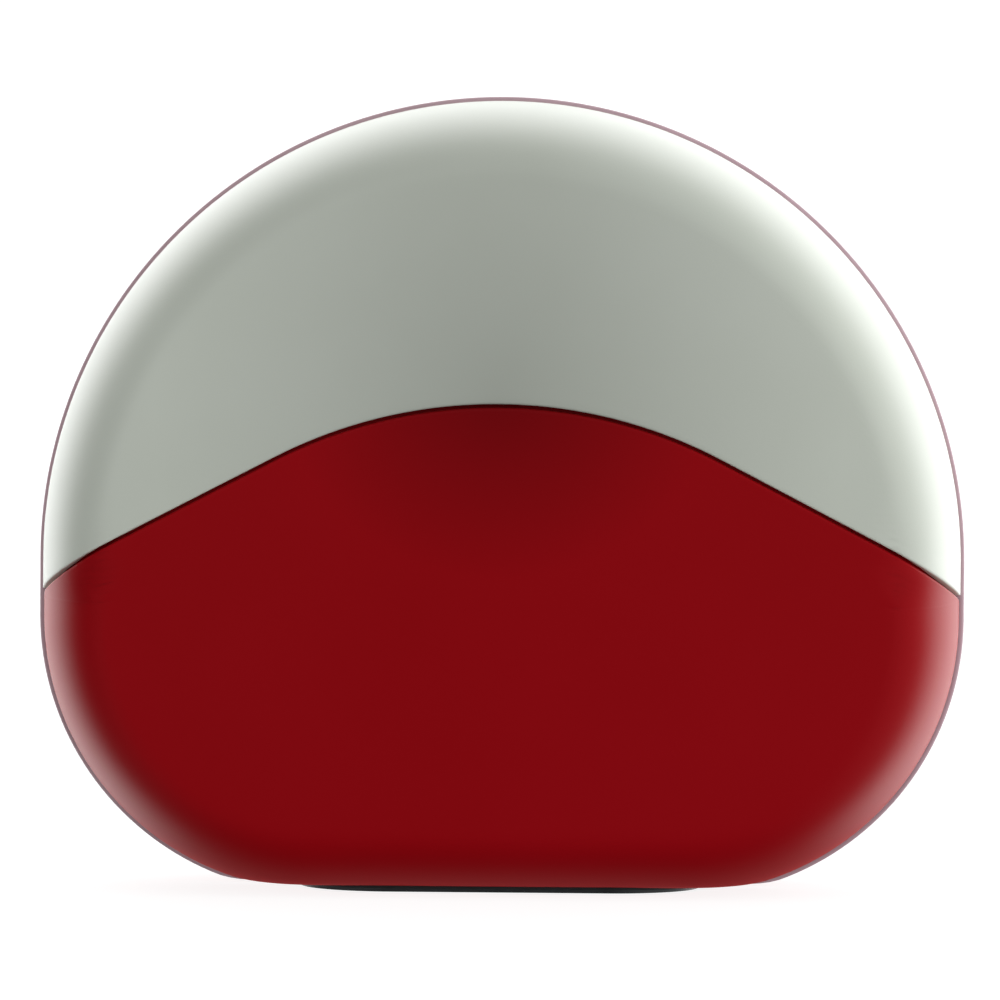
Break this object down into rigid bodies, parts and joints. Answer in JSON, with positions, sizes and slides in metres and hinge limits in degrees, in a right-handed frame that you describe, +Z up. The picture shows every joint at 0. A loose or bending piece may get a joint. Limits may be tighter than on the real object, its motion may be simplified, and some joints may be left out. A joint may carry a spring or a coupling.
{
  "type": "bobber float",
  "caption": "Flattened two-tone fishing float with a flat standing base, a swivelling line hook and a spring-loaded line button underneath.",
  "frame": {"origin": "middle of the flat standing base, on the surface that the float stands on", "axes": "+Z up through the crown, +X along the width to the right of the front face, +Y to the rear; the front face looks along -Y"},
  "size_m": [0.076, 0.036, 0.0649],
  "materials": {
    "pale_shell": "satin moulded ABS, pale sage white",
    "red_shell": "satin moulded ABS, dark red",
    "rim_elastomer": "matt thermoplastic elastomer, mauve grey",
    "black_plastic": "matt moulded ABS",
    "foam": "closed-cell expanded polyethylene",
    "stainless": "bright stainless steel",
    "seal_rubber": "matt nitrile rubber",
    "zinc": "as-cast zinc",
    "white_acetal": "moulded acetal",
    "brass": "turned brass"
  },
  "bodies": {
    "hull": {"upper_front_shell": "pale_shell", "lower_front_shell": "red_shell", "upper_rear_shell": "pale_shell", "lower_rear_shell": "red_shell", "rim_seal": "rim_elastomer", "inner_frame": "black_plastic", "foam_core_front": "foam", "foam_core_rear": "foam", "shell_screw_1": "stainless", "screw_washer_1": "seal_rubber", "shell_screw_2": "stainless", "screw_washer_2": "seal_rubber", "shell_screw_3": "stainless", "screw_washer_3": "seal_rubber", "shell_screw_4": "stainless", "screw_washer_4": "seal_rubber", "base_plate": "black_plastic", "base_seal": "seal_rubber", "base_screw_left": "stainless", "base_screw_right": "stainless", "ballast_weight": "zinc", "button_stop_ring": "black_plastic", "button_spring": "stainless", "guide_tube": "brass", "tube_oring": "seal_rubber", "thrust_washer": "white_acetal", "swivel_cap": "black_plastic"},
    "line_hook": {"hook_rod": "stainless", "rod_collar": "brass", "retaining_clip": "stainless"},
    "button": {"line_button": "white_acetal"}
  },
  "joints": [
    {"name": "hook_swivel", "type": "hinge", "parent": "hull", "child": "line_hook", "pos_m": [0, 0, 0.02], "axis": [0, 0, 1], "continuous": true},
    {"name": "button_push", "type": "slide", "parent": "line_hook", "child": "button", "axis": [0, 0, 1], "range_m": [0, 0.0055], "stiffness_N_per_m": 400, "springref_m": -0.004, "deforming": ["button_spring"]}
  ]
}
